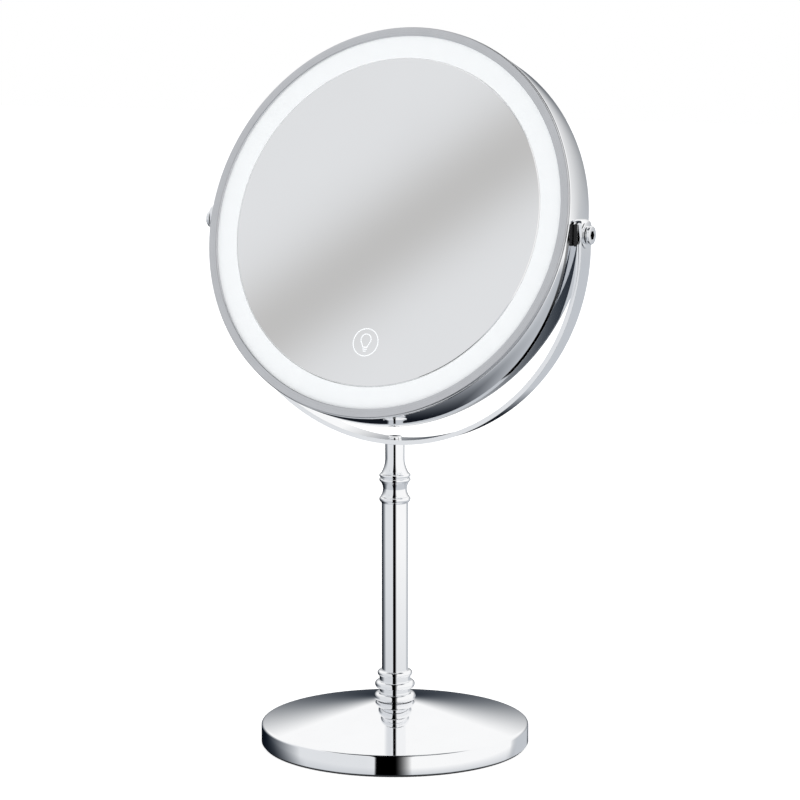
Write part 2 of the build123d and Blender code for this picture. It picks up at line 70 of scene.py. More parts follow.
# Sizes are in millimetres where a name ends in _MM or a list says so; the rest
# is in metres.  The head is modelled upright round Z and then laid on the
# head's own axis, leaned back and lifted to the tilt axis.
MM = 0.001
LEAN = radians(18.7)
PIVOT = Vector(frame["joints"][0]["pos_m"])
BODY_OF = {n: b for b, ns in frame["record"]["behaviour"]["bodies"].items() for n in ns}
SLOT_OF = {row["node"]: row["material_slot"] for row in frame["record"]["subparts"]}


def top_of(node):
    """Height of a CAD node's highest point."""
    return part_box(node)[1].z


def reach_of(node):
    """How far a CAD node reaches from the middle, to the right."""
    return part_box(node)[1].x


FOOT_RADIUS = reach_of("base_shell")
HEAD_RADIUS = reach_of("head_casing")
MIRROR_RADIUS = reach_of("front_mirror")
STRIP_RADIUS = reach_of("yoke_bracket")
TUBE_RADIUS = reach_of("stem_tube")

SCREW_MM = 2.0  # radius of the yoke's and the pivots' screws
BORE_MM = 2.06  # radius of the holes that they pass through

STAND_STEPS = 128  # facets round the stand's turned pieces
HEAD_STEPS = 192  # facets round the head's rings
SMALL_STEPS = 64  # facets round screws and washers
SMOOTH_ANGLE = radians(32)
TINY = 0.00001  # places closer than this count as the same


# ---- sizes and colours a user may change ---------------------------------
class MirrorSizes(bpy.types.PropertyGroup):
    """Sizes of the pieces that show."""

    strip_thickness: bpy.props.FloatProperty(
        name="Strip thickness", description="Thickness of the yoke's strip",
        default=2.3 * MM, unit="LENGTH", subtype="DISTANCE")
    strip_width: bpy.props.FloatProperty(
        name="Strip width", description="Width of the yoke's strip",
        default=11.4 * MM, unit="LENGTH", subtype="DISTANCE")
    strip_edge: bpy.props.FloatProperty(
        name="Strip edge", description="Rounding of the yoke's edges",
        default=0.35 * MM, unit="LENGTH", subtype="DISTANCE")
    shoulder: bpy.props.FloatProperty(
        name="Ear shoulder", description="Rounding of the ears, seen from the side",
        default=3.5 * MM, unit="LENGTH", subtype="DISTANCE")
    mark_width: bpy.props.FloatProperty(
        name="Mark width", description="Line width of the touch mark",
        default=0.48 * MM, unit="LENGTH", subtype="DISTANCE")
    mark_drop: bpy.props.FloatProperty(
        name="Mark drop", description="Touch mark below the middle of the mirror",
        default=62 * MM, unit="LENGTH", subtype="DISTANCE")


class MirrorFinishes(bpy.types.PropertyGroup):
    """Colours of the finishes and strength of the light."""

    chrome: bpy.props.FloatVectorProperty(
        name="Chrome", description="Colour that the polished chrome reflects",
        default=(0.94, 0.945, 0.955), subtype="COLOR", min=0, max=1)
    satin: bpy.props.FloatVectorProperty(
        name="Satin trim", description="Colour of the satin rings round the head",
        default=(0.66, 0.665, 0.68), subtype="COLOR", min=0, max=1)
    silver: bpy.props.FloatVectorProperty(
        name="Silvering", description="Colour of the mirror's silvering",
        default=(0.945, 0.94, 0.935), subtype="COLOR", min=0, max=1)
    glow: bpy.props.FloatVectorProperty(
        name="Ring colour", description="Colour of the lit ring",
        default=(0.955, 0.985, 1.0), subtype="COLOR", min=0, max=1)
    glow_strength: bpy.props.FloatProperty(
        name="Ring strength", description="How brightly the ring is lit",
        default=0.25, min=0, max=5)


# ---- modelling steps -------------------------------------------------------
def nothing_selected():
    """Object mode, with nothing selected."""
    if bpy.context.object and bpy.context.object.mode != "OBJECT":
        bpy.ops.object.mode_set(mode="OBJECT")
    bpy.ops.object.select_all(action="DESELECT")


def arc(start, middle, end, steps):
    """Points of the circular arc through three points, without the first."""
    (ax, ay), (bx, by), (cx, cy) = start, middle, end
    d = 2 * (ax * (by - cy) + bx * (cy - ay) + cx * (ay - by))
    a2, b2, c2 = ax * ax + ay * ay, bx * bx + by * by, cx * cx + cy * cy
    ox = (a2 * (by - cy) + b2 * (cy - ay) + c2 * (ay - by)) / d
    oy = (a2 * (cx - bx) + b2 * (ax - cx) + c2 * (bx - ax)) / d
    first = atan2(ay - oy, ax - ox)
    turn = (atan2(cy - oy, cx - ox) - first) % tau
    half = (atan2(by - oy, bx - ox) - first) % tau
    if half > turn:
        turn -= tau
    radius = sqrt((ax - ox) ** 2 + (ay - oy) ** 2)
    angles = [first + turn * i / steps for i in range(1, steps + 1)]
    return [(ox + radius * cos(t), oy + radius * sin(t)) for t in angles]


def corner(x, y, radius, start, steps=4):
    """A quarter round about (x, y), from start degrees, anticlockwise."""
    angles = [radians(start + 90 * i / steps) for i in range(steps + 1)]
    return [(x + radius * cos(t), y + radius * sin(t)) for t in angles]


def bead(reach, radius, level, below, above, steps=12):
    """A round bead's outline between the core radii below and above it."""
    middle = reach - radius
    low = -acos((below - middle) / radius)
    high = acos((above - middle) / radius)
    angles = [low + (high - low) * i / steps for i in range(steps + 1)]
    return [(middle + radius * cos(t), level + radius * sin(t)) for t in angles]


def close_up(piece):
    """Merge doubles, point the faces outwards and smooth between sharp edges."""
    bpy.ops.object.mode_set(mode="EDIT")
    bpy.ops.mesh.select_all(action="SELECT")
    bpy.ops.mesh.remove_doubles(threshold=0.000002)
    bpy.ops.mesh.normals_make_consistent(inside=False)
    bpy.ops.object.mode_set(mode="OBJECT")
    bpy.ops.object.shade_smooth_by_angle(angle=SMOOTH_ANGLE)
    return piece


def turned(name, line, steps, ring=False):
    """A piece turned round Z from an outline in millimetres, (radius, height).

    A ring's outline comes back to its start.  A solid's starts and ends on the
    axis, with a flat face at the start.
    """
    nothing_selected()
    points = [(r * MM, h * MM) for r, h in line]
    if ring:
        points.append(points[0])
    else:
        points.pop(0)
    radius, height = points[0]
    bpy.ops.mesh.primitive_circle_add(
        vertices=steps, radius=radius, location=(0, 0, height),
        fill_type="NOTHING" if ring else "TRIFAN", enter_editmode=True)
    bpy.ops.mesh.select_mode(type="EDGE")
    if not ring:
        bpy.ops.mesh.region_to_loop()
    for r, h in points[1:]:
        bpy.ops.mesh.extrude_edges_move(
            TRANSFORM_OT_translate={"value": (0, 0, h - height)})
        share = r / radius
        bpy.ops.transform.resize(value=(share, share, 1), center_override=(0, 0, h))
        radius, height = r, h
    piece = bpy.context.object
    piece.name = piece.data.name = name
    bpy.ops.object.mode_set(mode="OBJECT")
    return close_up(applied(piece))


def applied(piece):
    """Put the object's place and turn into its mesh."""
    nothing_selected()
    piece.select_set(True)
    bpy.context.view_layer.objects.active = piece
    bpy.ops.object.transform_apply(location=True, rotation=True, scale=True)
    return piece


def applied_from_edit():
    """Leave edit mode and put the object's place into its mesh."""
    bpy.ops.object.mode_set(mode="OBJECT")
    return applied(bpy.context.object)


def pick_edges(piece, wanted):
    """Edit mode, with only the edges selected whose two ends pass the test."""
    bpy.ops.object.mode_set(mode="EDIT")
    bpy.ops.mesh.select_mode(type="EDGE")
    bpy.ops.mesh.select_all(action="DESELECT")
    bpy.ops.object.mode_set(mode="OBJECT")
    points = [vertex.co for vertex in piece.data.vertices]
    for edge in piece.data.edges:
        edge.select = wanted(*(points[i] for i in edge.vertices))
    bpy.ops.object.mode_set(mode="EDIT")


def on_head_axis(piece):
    """Lay a piece modelled round Z on the leaned head axis, its +Z to the back."""
    piece.rotation_euler = (-(pi / 2 + LEAN), 0, 0)
    piece.location = PIVOT
    return applied(piece)


def on_tilt_axis(piece, side):
    """Lay a piece modelled round Z on the tilt axis, its +Z outwards."""
    piece.rotation_euler = (0, side * pi / 2, 0)
    piece.location = PIVOT
    return applied(piece)


def round_edges(piece, width, steps=2, limit=radians(40)):
    """Round the sharp edges with a bevel."""
    modifier = piece.modifiers.new("Edges", "BEVEL")
    modifier.width = width
    modifier.segments = steps
    modifier.limit_method = "ANGLE"
    modifier.angle_limit = limit
    modifier.harden_normals = False
    bpy.context.view_layer.objects.active = piece
    bpy.ops.object.modifier_apply(modifier=modifier.name)
    return piece


def combine(piece, tool, how):
    """Cut a tool from a piece, or keep only what is inside it."""
    modifier = piece.modifiers.new("Cut", "BOOLEAN")
    modifier.operation = how
    modifier.object = tool
    modifier.solver = "EXACT"
    nothing_selected()
    piece.select_set(True)
    bpy.context.view_layer.objects.active = piece
    bpy.ops.object.modifier_apply(modifier=modifier.name)
    bpy.data.objects.remove(tool)
    return piece


def hex_tool(radius, low, high):
    """A six-sided bar along Z, in millimetres, for cutting a hex socket."""
    nothing_selected()
    bpy.ops.mesh.primitive_cylinder_add(
        vertices=6, radius=radius * MM, depth=(high - low) * MM,
        location=(0, 0, (low + high) / 2 * MM))
    return bpy.context.object


def round_tool(radius, length, place):
    """A round bar along X, in metres, for cutting a bore."""
    nothing_selected()
    bpy.ops.mesh.primitive_cylinder_add(
        vertices=48, radius=radius, depth=length, location=place,
        rotation=(0, pi / 2, 0))
    return applied(bpy.context.object)


def stands_for(piece, node):
    """Let a finished piece take a CAD node's place, body and finish."""
    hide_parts(node)
    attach(piece, BODY_OF[node])
    finish_as(piece, SLOT_OF[node])
    return piece


def finish_as(piece, slot):
    piece.data.materials.clear()
    piece.data.materials.append(FINISHES[slot]())


# ---- finishes ---------------------------------------------------------------
def darken(piece, wanted):
    """Give the faces whose middles are wanted the dark finish of a socket: painted shade inside its recess."""
    piece.data.materials.append(socket_steel_painted_shade())
    for face in piece.data.polygons:
        if wanted(face.center):
            face.material_index = len(piece.data.materials) - 1


def new_finish(name):
    """A node material with one shader; makes it once and hands it out again."""
    if name in bpy.data.materials:
        return bpy.data.materials[name], None
    finish = bpy.data.materials.new(name)
    finish.use_nodes = True
    return finish, NodeBench(finish.node_tree)


class NodeBench:
    """Short ways of adding and joining shader nodes."""

    def __init__(self, tree):
        self.tree = tree
        self.shader = tree.nodes.get("Principled BSDF")

    def add(self, kind, **values):
        node = self.tree.nodes.new(kind)
        for key, value in values.items():
            setattr(node, key, value)
        return node

    def join(self, source, target):
        self.tree.links.new(source, target)

    def place(self, centre=None, turn=None):
        """Object coordinates, centred and turned if asked."""
        out = self.add("ShaderNodeTexCoord").outputs["Object"]
        if centre is None:
            return out
        mapping = self.add("ShaderNodeMapping", vector_type="TEXTURE")
        mapping.inputs["Location"].default_value = centre
        mapping.inputs["Rotation"].default_value = turn or (0, 0, 0)
        self.join(out, mapping.inputs["Vector"])
        return mapping.outputs["Vector"]

    def noise(self, where, scale, detail=4, roughness=0.5):
        node = self.add("ShaderNodeTexNoise")
        node.inputs["Scale"].default_value = scale
        node.inputs["Detail"].default_value = detail
        node.inputs["Roughness"].default_value = roughness
        self.join(where, node.inputs["Vector"])
        return node.outputs["Fac"]

    def spread(self, source, low, high, source_low=0.3, source_high=0.7):
        node = self.add("ShaderNodeMapRange")
        node.inputs["From Min"].default_value = source_low
        node.inputs["From Max"].default_value = source_high
        node.inputs["To Min"].default_value = low
        node.inputs["To Max"].default_value = high
        self.join(source, node.inputs["Value"])
        return node.outputs["Result"]

    def ramp(self, source, stops):
        """A colour ramp from (position, colour) stops."""
        node = self.add("ShaderNodeValToRGB")
        bar = node.color_ramp
        bar.interpolation = "LINEAR"
        while len(bar.elements) < len(stops):
            bar.elements.new(0.5)
        for element, (position, colour) in zip(bar.elements, stops):
            element.position = position
            element.color = (*colour, 1)
        self.join(source, node.inputs["Fac"])
        return node.outputs["Color"]

    def math(self, operation, first, second=None):
        node = self.add("ShaderNodeMath", operation=operation)
        for socket, value in zip(node.inputs, (first, second)):
            if value is None:
                continue
            if isinstance(value, (int, float)):
                socket.default_value = value
            else:
                self.join(value, socket)
        return node.outputs["Value"]

    def mix(self, share, first, second):
        """Blend two colours; either may be a socket or a plain colour."""
        node = self.add("ShaderNodeMix", data_type="RGBA")
        self.join(share, node.inputs["Factor"])
        for socket, value in zip((node.inputs[6], node.inputs[7]), (first, second)):
            if isinstance(value, tuple):
                socket.default_value = (*value, 1)
            else:
                self.join(value, socket)
        return node.outputs[2]

    def bump(self, height, strength, distance):
        node = self.add("ShaderNodeBump")
        node.inputs["Strength"].default_value = strength
        node.inputs["Distance"].default_value = distance
        self.join(height, node.inputs["Height"])
        self.join(node.outputs["Normal"], self.shader.inputs["Normal"])

    def colour(self, source):
        self.join(source, self.shader.inputs["Base Color"])

    def rough(self, source):
        self.join(source, self.shader.inputs["Roughness"])

    def fixed(self, **values):
        """Uniform values, on the shader's own sockets."""
        for key, value in values.items():
            self.shader.inputs[key.replace("_", " ")].default_value = value


def shaded(colour, amount):
    """A colour made lighter or darker."""
    return tuple(min(1.0, c * amount) for c in colour)


def finishes():
    return bpy.context.scene.mirror_finishes


def polished_chrome():
    """Bright plate with a faint waviness and the haze of fine polishing."""
    finish, bench = new_finish("Polished_chrome")
    if bench:
        colour = tuple(finishes().chrome)
        where = bench.place()
        cloud = bench.noise(where, 60, 3)
        stops = [(0.3, shaded(colour, 0.985)), (0.7, colour)]
        bench.colour(bench.ramp(cloud, stops))
        haze = bench.noise(where, 900, 5, 0.6)
        bench.rough(bench.spread(haze, 0.018, 0.045))
        bench.bump(bench.noise(where, 45, 1), 0.05, 0.0001)
        bench.fixed(Metallic=1.0)
    return finish


def satin_trim():
    """Satin plate: fine turning lines round the head's axis."""
    finish, bench = new_finish("Satin_trim")
    if bench:
        colour = tuple(finishes().satin)
        where = bench.place(PIVOT, (-(pi / 2 + LEAN), 0, 0))
        split = bench.add("ShaderNodeSeparateXYZ")
        bench.join(where, split.inputs["Vector"])
        x, y = split.outputs["X"], split.outputs["Y"]
        squares = bench.math("ADD", bench.math("MULTIPLY", x, x), bench.math("MULTIPLY", y, y))
        radius = bench.math("SQRT", squares)
        rings = bench.add("ShaderNodeCombineXYZ")
        bench.join(radius, rings.inputs["X"])
        bench.join(split.outputs["Z"], rings.inputs["Z"])
        lines = bench.noise(rings.outputs["Vector"], 9000, 2)
        cloud = bench.noise(where, 120, 3)
        stops = [(0.3, shaded(colour, 0.94)), (0.7, shaded(colour, 1.03))]
        bench.colour(bench.ramp(bench.math("MULTIPLY", bench.math("ADD", lines, cloud), 0.5), stops))
        bench.rough(bench.spread(lines, 0.26, 0.36))
        bench.bump(lines, 0.05, 0.00002)
        bench.fixed(Metallic=1.0)
    return finish


def silvered_glass():
    """Clear flat glass over silvering."""
    finish, bench = new_finish("Silvered_glass")
    if bench:
        colour = tuple(finishes().silver)
        where = bench.place()
        cloud = bench.noise(where, 25, 2)
        bench.colour(bench.ramp(cloud, [(0.3, shaded(colour, 0.99)), (0.7, colour)]))
        smear = bench.noise(where, 160, 4, 0.6)
        bench.rough(bench.spread(smear, 0.002, 0.012))
        bench.fixed(Metallic=1.0, Coat_Weight=0.35, Coat_Roughness=0.01, Coat_IOR=1.5)
    return finish


def lit_acrylic():
    """Opal ring lit from behind, a little brighter over each lamp."""
    finish, bench = new_finish("Opal_acrylic_lit")
    if bench:
        glow = tuple(finishes().glow)
        strength = finishes().glow_strength
        where = bench.place(PIVOT, (-(pi / 2 + LEAN), 0, 0))
        split = bench.add("ShaderNodeSeparateXYZ")
        bench.join(where, split.inputs["Vector"])
        turn = bench.math("ARCTAN2", split.outputs["Y"], split.outputs["X"])
        lamps = bench.math("SINE", bench.math("MULTIPLY", turn, LAMP_COUNT))
        grain = bench.noise(where, 1400, 3)
        bench.colour(bench.ramp(grain, [(0.3, (0.86, 0.875, 0.88)), (0.7, (0.9, 0.91, 0.915))]))
        bench.rough(bench.spread(grain, 0.26, 0.34))
        share = bench.spread(lamps, 0, 1, -1, 1)
        light = bench.mix(share, shaded(glow, 0.97), glow)
        bench.join(light, bench.shader.inputs["Emission Color"])
        bench.fixed(Emission_Strength=strength, IOR=1.49)
        bench.bump(grain, 0.06, 0.00003)
    return finish


def etched_mark():
    """White enamel of the touch mark, given a painted glow though it is no lamp."""
    finish, bench = new_finish("White_mark_painted_glow")
    if bench:
        where = bench.place()
        grain = bench.noise(where, 2500, 3)
        bench.colour(bench.ramp(grain, [(0.3, (0.88, 0.9, 0.92)), (0.7, (0.95, 0.96, 0.97))]))
        bench.rough(bench.spread(grain, 0.4, 0.55))
        # painted glow: the enamel mark emits light so that it reads brighter
        bench.fixed(Emission_Color=(0.95, 0.98, 1.0, 1), Emission_Strength=0.35)
    return finish


def grained(name, dark, light, scale, rough, bump, metal=0.0, **fixed):
    """A finish with mottled colour, uneven gloss and a fine grain."""
    finish, bench = new_finish(name)
    if bench:
        where = bench.place()
        cloud = bench.noise(where, scale, 4)
        fine = bench.noise(where, scale * 7, 4, 0.6)
        bench.colour(bench.ramp(cloud, [(0.3, dark), (0.7, light)]))
        bench.rough(bench.spread(fine, *rough))
        bench.bump(fine, bump, 0.0001)
        bench.fixed(Metallic=metal, **fixed)
    return finish


def socket_steel_painted_shade():
    """Unpolished steel inside a hex socket, made near black as painted shade of the recess."""
    return grained("Socket_steel_painted_shade", (0.02, 0.021, 0.024), (0.05, 0.052, 0.058), 900,
                   (0.5, 0.65), 0.1, metal=1.0)


def pebbled_rubber():
    """Black rubber with a pebbled face."""
    finish, bench = new_finish("Black_rubber")
    if bench:
        where = bench.place()
        cells = bench.add("ShaderNodeTexVoronoi")
        cells.inputs["Scale"].default_value = 900
        bench.join(where, cells.inputs["Vector"])
        cloud = bench.noise(where, 90, 3)
        bench.colour(bench.ramp(cloud, [(0.3, (0.012, 0.012, 0.013)), (0.7, (0.024, 0.024, 0.026))]))
        bench.rough(bench.spread(cloud, 0.62, 0.8))
        bench.bump(cells.outputs["Distance"], 0.35, 0.0002)
    return finish


def circuit_board(name, mask, bare):
    """Solder mask with paler tracks under it."""
    finish, bench = new_finish(name)
    if bench:
        where = bench.place(PIVOT, (-(pi / 2 + LEAN), 0, 0))
        tracks = bench.add("ShaderNodeTexBrick")
        tracks.inputs["Scale"].default_value = 180
        tracks.inputs["Mortar Size"].default_value = 0.06
        tracks.inputs["Color1"].default_value = (*mask, 1)
        tracks.inputs["Color2"].default_value = (*shaded(mask, 0.9), 1)
        tracks.inputs["Mortar"].default_value = (*bare, 1)
        bench.join(where, tracks.inputs["Vector"])
        bench.colour(tracks.outputs["Color"])
        bench.rough(bench.spread(bench.noise(where, 500), 0.28, 0.4))
        bench.bump(tracks.outputs["Fac"], 0.1, 0.00005)
    return finish


def cell_jacket():
    """Printed shrink sleeve in two plain bands."""
    finish, bench = new_finish("Cell_jacket")
    if bench:
        where = bench.place(PIVOT, (-(pi / 2 + LEAN), 0, 0))
        bands = bench.add("ShaderNodeTexWave", wave_type="RINGS", rings_direction="Z")
        bands.inputs["Scale"].default_value = 9
        bands.inputs["Distortion"].default_value = 0
        bench.join(where, bands.inputs["Vector"])
        stops = [(0.0, (0.02, 0.02, 0.025)), (0.55, (0.03, 0.03, 0.04)), (0.6, (0.45, 0.32, 0.12))]
        bench.colour(bench.ramp(bands.outputs["Fac"], stops))
        bench.rough(bench.spread(bench.noise(where, 300), 0.22, 0.34))
        bench.fixed(Metallic=0.3)
    return finish


LAMP_COUNT = 48
FINISHES = {
    "chrome_plate": polished_chrome,
    "satin_trim": satin_trim,
    "mirror_glass": silvered_glass,
    "opal_acrylic": lit_acrylic,
    "black_rubber": pebbled_rubber,
    "cell_jacket": cell_jacket,
    "plain_steel": lambda: grained(
        "Zinc_plated_steel", (0.5, 0.51, 0.53), (0.62, 0.63, 0.64), 260, (0.24, 0.4), 0.1, 1.0),
    "cast_weight": lambda: grained(
        "Cast_iron", (0.05, 0.05, 0.052), (0.1, 0.1, 0.105), 320, (0.6, 0.8), 0.6, 0.7),
    "white_plastic": lambda: grained(
        "White_moulding", (0.78, 0.785, 0.79), (0.84, 0.845, 0.85), 200, (0.36, 0.48), 0.08),
    "black_plastic": lambda: grained(
        "Black_moulding", (0.014, 0.014, 0.016), (0.026, 0.026, 0.029), 400, (0.32, 0.46), 0.12),
    "foam_tape": lambda: grained(
        "Foam_tape", (0.7, 0.7, 0.68), (0.86, 0.86, 0.84), 900, (0.8, 0.95), 0.7),
    "white_board": lambda: circuit_board("White_board", (0.78, 0.79, 0.8), (0.66, 0.67, 0.68)),
    "green_board": lambda: circuit_board("Green_board", (0.01, 0.13, 0.045), (0.03, 0.24, 0.09)),
    "led_package": lambda: grained(
        "Lamp_package", (0.86, 0.72, 0.22), (0.93, 0.84, 0.4), 700, (0.3, 0.45), 0.1,
        Emission_Color=(1.0, 0.97, 0.9, 1), Emission_Strength=0.5),
    "dark_component": lambda: grained(
        "Dark_component", (0.02, 0.02, 0.022), (0.045, 0.045, 0.05), 600, (0.45, 0.6), 0.2),
    "copper_foil": lambda: grained(
        "Copper_foil", (0.72, 0.36, 0.2), (0.85, 0.46, 0.28), 300, (0.2, 0.35), 0.15, 1.0),
    "nickel_contact": lambda: grained(
        "Nickel_contact", (0.6, 0.58, 0.54), (0.72, 0.7, 0.66), 350, (0.2, 0.32), 0.08, 1.0),
    "lead_insulation": lambda: grained(
        "Lead_insulation", (0.42, 0.02, 0.02), (0.55, 0.035, 0.03), 150, (0.38, 0.5), 0.05),
}


# ---- the stand's pieces -------------------------------------------------------
# Outlines are (radius, height) in millimetres.
DOME = ((67.2, 11.1), (38.36, 16.3), (10.2, 22.0))
SHELL_MM = 1.2


def foot_outline():
    """Closed section of the foot's pressed cover."""
    rim = FOOT_RADIUS / MM
    outside = [(rim - 0.3, 1.0), (rim, 1.3), (rim, 9.8)]
    outside += arc((rim, 9.8), (rim - 0.35, 10.65), DOME[0], 5)
    outside += arc(*DOME, 40)
    lowered = [(r - SHELL_MM, h - SHELL_MM) for r, h in DOME]
    under = [lowered[0]] + arc(*lowered, 20)
    bore = [(3.3, DOME[2][1]), (3.3, DOME[2][1] - SHELL_MM)]
    return outside + bore + under[::-1] + [(rim - SHELL_MM, 9.0), (rim - SHELL_MM, 1.0)]


class BuildFoot(bpy.types.Operator):
    """Build the foot's chromed cover."""

    bl_idname = "mirror.build_foot"
    bl_label = "Foot cover"

    def execute(self, context):
        piece = turned("foot_cover", foot_outline(), HEAD_STEPS, ring=True)
        stands_for(piece, "base_shell")
        return {"FINISHED"}


# Beads: (reach, radius, level, core radius below, core radius above).
LOWER_BEADS = [(10.7, 2.2, 24.4, 7.9, 7.9), (10.2, 2.0, 30.7, 7.9, 7.9), (8.9, 1.5, 36.5, 7.9, 7.9)]
UPPER_BEADS = [(7.9, 1.6, 126.8, 6.95, 7.15), (7.9, 1.1, 136.8, 7.2, 7.15), (7.9, 1.0, 139.1, 7.2, 7.1)]
WAIST = ((7.2, 128.3), (6.05, 132.0), (7.2, 135.75))
FLARE = ((7.1, 140.05), (5.35, 144.2), (4.9, 148.6))


def lower_collar_outline():
    tube = TUBE_RADIUS / MM
    line = [(3.3, 22.0), (7.7, 22.0), (7.9, 22.15)]
    for one in LOWER_BEADS:
        line += bead(*one)
    line += corner(7.6, 37.7, 0.3, 0)
    return line + [(tube + 0.02, 38.0), (tube + 0.02, 35.4), (3.3, 35.4)]


def upper_collar_outline(top):
    tube = TUBE_RADIUS / MM
    line = [(0, 127.9), (tube + 0.02, 127.9), (tube + 0.02, 124.9), (6.8, 124.9), (6.9, 125.0)]
    line += bead(*UPPER_BEADS[0]) + [WAIST[0]] + arc(*WAIST, 14)
    line += bead(*UPPER_BEADS[1]) + [(7.1, 138.0)] + bead(*UPPER_BEADS[2])
    line += [FLARE[0]] + arc(*FLARE, 16)
    return line + corner(4.6, top - 0.3, 0.3, 0) + [(0, top)]


class BuildStem(bpy.types.Operator):
    """Build the turned stem: lower collar, tube and upper collar."""

    bl_idname = "mirror.build_stem"
    bl_label = "Stem"

    def execute(self, context):
        low, high = (z / MM for z in (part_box("stem_tube")[0].z, top_of("stem_tube")))
        tube = TUBE_RADIUS / MM
        pipe = [(tube - 1, low), (tube, low), (tube, high), (tube - 1, high)]
        collar = turned("lower_collar_beaded", lower_collar_outline(), STAND_STEPS, ring=True)
        stands_for(collar, "lower_collar")
        stands_for(turned("stem_pipe", pipe, STAND_STEPS, ring=True), "stem_tube")
        line = upper_collar_outline(top_of("upper_collar") / MM)
        stands_for(turned("upper_collar_waisted", line, STAND_STEPS), "upper_collar")
        return {"FINISHED"}


class BuildYoke(bpy.types.Operator):
    """Build the bent strip that carries the head, and the screw through it."""

    bl_idname = "mirror.build_yoke"
    bl_label = "Yoke"

    def execute(self, context):
        sizes = context.scene.mirror_sizes
        thick, wide = sizes.strip_thickness, sizes.strip_width
        low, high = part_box("yoke_bracket")
        centre = low.z + STRIP_RADIUS
        bend = thick + 0.4 * MM
        bend_level = high.z - bend
        nothing_selected()
        bpy.ops.mesh.primitive_plane_add(
            size=1, location=(STRIP_RADIUS - thick / 2, 0, centre), enter_editmode=True)
        bpy.ops.transform.resize(
            value=(thick, wide, 1), center_override=(STRIP_RADIUS - thick / 2, 0, centre))
        bpy.ops.mesh.delete(type="ONLY_FACE")
        piece = applied_from_edit()
        bpy.ops.object.mode_set(mode="EDIT")
        bpy.ops.mesh.select_all(action="SELECT")
        bpy.ops.mesh.spin(
            steps=YOKE_STEPS, angle=-pi, center=(0, 0, centre), axis=(0, 1, 0))
        piece.name = piece.data.name = "yoke_strip"
        for side in (1, -1):
            self.shape_ear(piece, side, centre, bend_level, bend, thick)
        close_up(piece)
        shoulders = self.shoulder_block(low, high, sizes.shoulder)
        combine(piece, shoulders, "INTERSECT")
        for place in (STRIP_RADIUS, -STRIP_RADIUS):
            combine(piece, round_tool(BORE_MM * MM, 10 * MM, (place, 0, PIVOT.z)), "DIFFERENCE")
        round_edges(piece, sizes.strip_edge)
        stands_for(close_up(piece), "yoke_bracket")
        self.build_screw()
        return {"FINISHED"}

    def shape_ear(self, piece, side, centre, bend_level, bend, thick):
        """Run one end of the strip up, bend it inwards and close it."""
        pick_edges(piece, lambda a, b: all(
            abs(p.z - centre) < TINY and p.x * side > 0 for p in (a, b)))
        bpy.ops.mesh.extrude_edges_move(
            TRANSFORM_OT_translate={"value": (0, 0, bend_level - centre)})
        bpy.ops.mesh.spin(
            steps=8, angle=side * pi / 2,
            center=(side * (STRIP_RADIUS - bend), 0, bend_level), axis=(0, 1, 0))
        inward = STRIP_RADIUS - bend - LIP_IN_MM * MM
        bpy.ops.mesh.extrude_edges_move(
            TRANSFORM_OT_translate={"value": (-side * inward, 0, 0)})
        bpy.ops.mesh.edge_face_add()
        bpy.ops.object.mode_set(mode="OBJECT")

    def shoulder_block(self, low, high, shoulder):
        """A block with rounded upper shoulders, seen from the side."""
        nothing_selected()
        bottom = low.z - 0.01
        size = (high.x - low.x + 0.02, high.y - low.y, high.z - bottom)
        bpy.ops.mesh.primitive_cube_add(
            size=1, location=(0, 0, (high.z + bottom) / 2), scale=size)
        block = applied(bpy.context.object)
        pick_edges(block, lambda a, b: (
            min(a.z, b.z) > high.z - TINY and abs(a.y - b.y) < TINY))
        bpy.ops.mesh.bevel(offset=shoulder, segments=8, affect="EDGES")
        bpy.ops.object.mode_set(mode="OBJECT")
        return block

    def build_screw(self):
        low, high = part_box("yoke_screw")
        seat, top = (high.z / MM) - 1.2, high.z / MM
        line = [(0, low.z / MM), (SCREW_MM, low.z / MM), (SCREW_MM, seat)]
        line += [(3.5, seat), (3.5, seat + 0.6)]
        line += corner(2.9, seat + 0.6, 0.6, 0) + [(0, top)]
        screw = turned("yoke_screw_head", line, SMALL_STEPS)
        combine(screw, hex_tool(1.5, top - 0.9, top + 1), "DIFFERENCE")
        stands_for(close_up(screw), "yoke_screw")
        # painted shade: the hex socket's inside gets a near-black finish
        darken(screw, lambda p: hypot(p.x, p.y) < 1.55 * MM and seat * MM < p.z < high.z - TINY)


YOKE_STEPS = 144
LIP_IN_MM = 100.9
SCREW_TIP_MM = 89.5
CAP_RADIUS_MM = 4.5
CAP_HEIGHT_MM = 2.5
WASHER_RADIUS_MM = 6.6
PAD_IN_MM = 100.8


